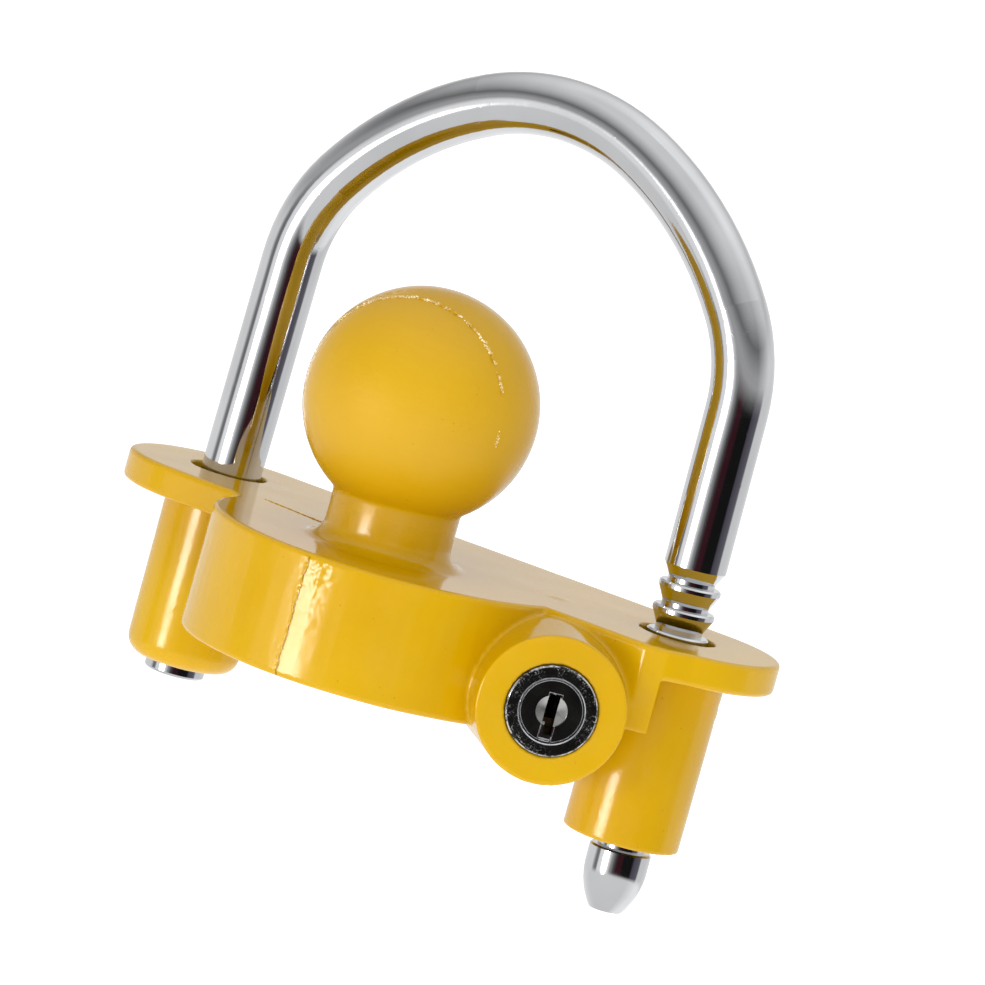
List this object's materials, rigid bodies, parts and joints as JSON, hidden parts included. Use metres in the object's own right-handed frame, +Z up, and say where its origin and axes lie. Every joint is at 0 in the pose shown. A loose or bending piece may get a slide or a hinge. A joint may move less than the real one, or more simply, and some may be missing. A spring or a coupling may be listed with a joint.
{
  "type": "trailer coupler lock",
  "caption": "Trailer coupler lock: a cast body with a coupler ball takes a bent, toothed steel shackle, held by a pawl that a keyed cylinder works.",
  "frame": {"origin": "centre of the coupler ball", "axes": "+X from the plain leg's bore to the ratchet leg's bore, -Y to the front where the drum and lock are, +Z up along the neck and the shackle legs"},
  "size_m": [0.1536, 0.081, 0.157],
  "materials": {
    "yellow_paint": "gloss paint over a rough casting",
    "chrome": "bright chrome plate",
    "black_chrome": "black chrome plate",
    "zinc": "satin die-cast zinc",
    "brass": "stamped brass",
    "spring_steel": "drawn wire",
    "plain_steel": "zinc-plated steel"
  },
  "bodies": {
    "casting": {"body_casting": "yellow_paint", "lock_shell": "black_chrome", "bore_plug": "yellow_paint", "retaining_pin": "plain_steel", "pawl_spring": "spring_steel"},
    "shackle": {"shackle": "chrome"},
    "plug": {"lock_plug": "zinc", "plug_face_cap": "black_chrome", "plug_clip": "spring_steel", "cam_disc": "plain_steel", "cam_pin": "plain_steel", "cam_screw": "plain_steel", "wafer_spring_1": "spring_steel", "wafer_spring_2": "spring_steel", "wafer_spring_3": "spring_steel", "wafer_spring_4": "spring_steel", "wafer_spring_5": "spring_steel", "wafer_spring_6": "spring_steel"},
    "wafers": {"wafer_1": "brass", "wafer_2": "brass", "wafer_3": "brass", "wafer_4": "brass", "wafer_5": "brass", "wafer_6": "brass"},
    "pawl": {"pawl": "plain_steel"}
  },
  "joints": [
    {"name": "shackle_slide", "type": "slide", "parent": "casting", "child": "shackle", "axis": [0, 0, 1], "range_m": [-0.025, 0.065]},
    {"name": "key_turn", "type": "hinge", "parent": "casting", "child": "plug", "pos_m": [0.05205, -0.00915, -0.0472], "axis": [-0.5878, 0.809, 0], "range_deg": [0, 90]},
    {"name": "pawl_slide", "type": "slide", "parent": "casting", "child": "pawl", "axis": [0.809, 0.5878, 0], "range_m": [0, 0.0055], "deforming": ["pawl_spring"]},
    {"name": "wafer_slide", "type": "slide", "parent": "plug", "child": "wafers", "axis": [0, 0, 1], "range_m": [0, 0.0007], "deforming": ["wafer_spring_1", "wafer_spring_2", "wafer_spring_3", "wafer_spring_4", "wafer_spring_5", "wafer_spring_6"]}
  ],
  "couplings": [
    {"joint": "pawl_slide", "follows": "key_turn", "m_per_rad": 0.0035014}
  ]
}
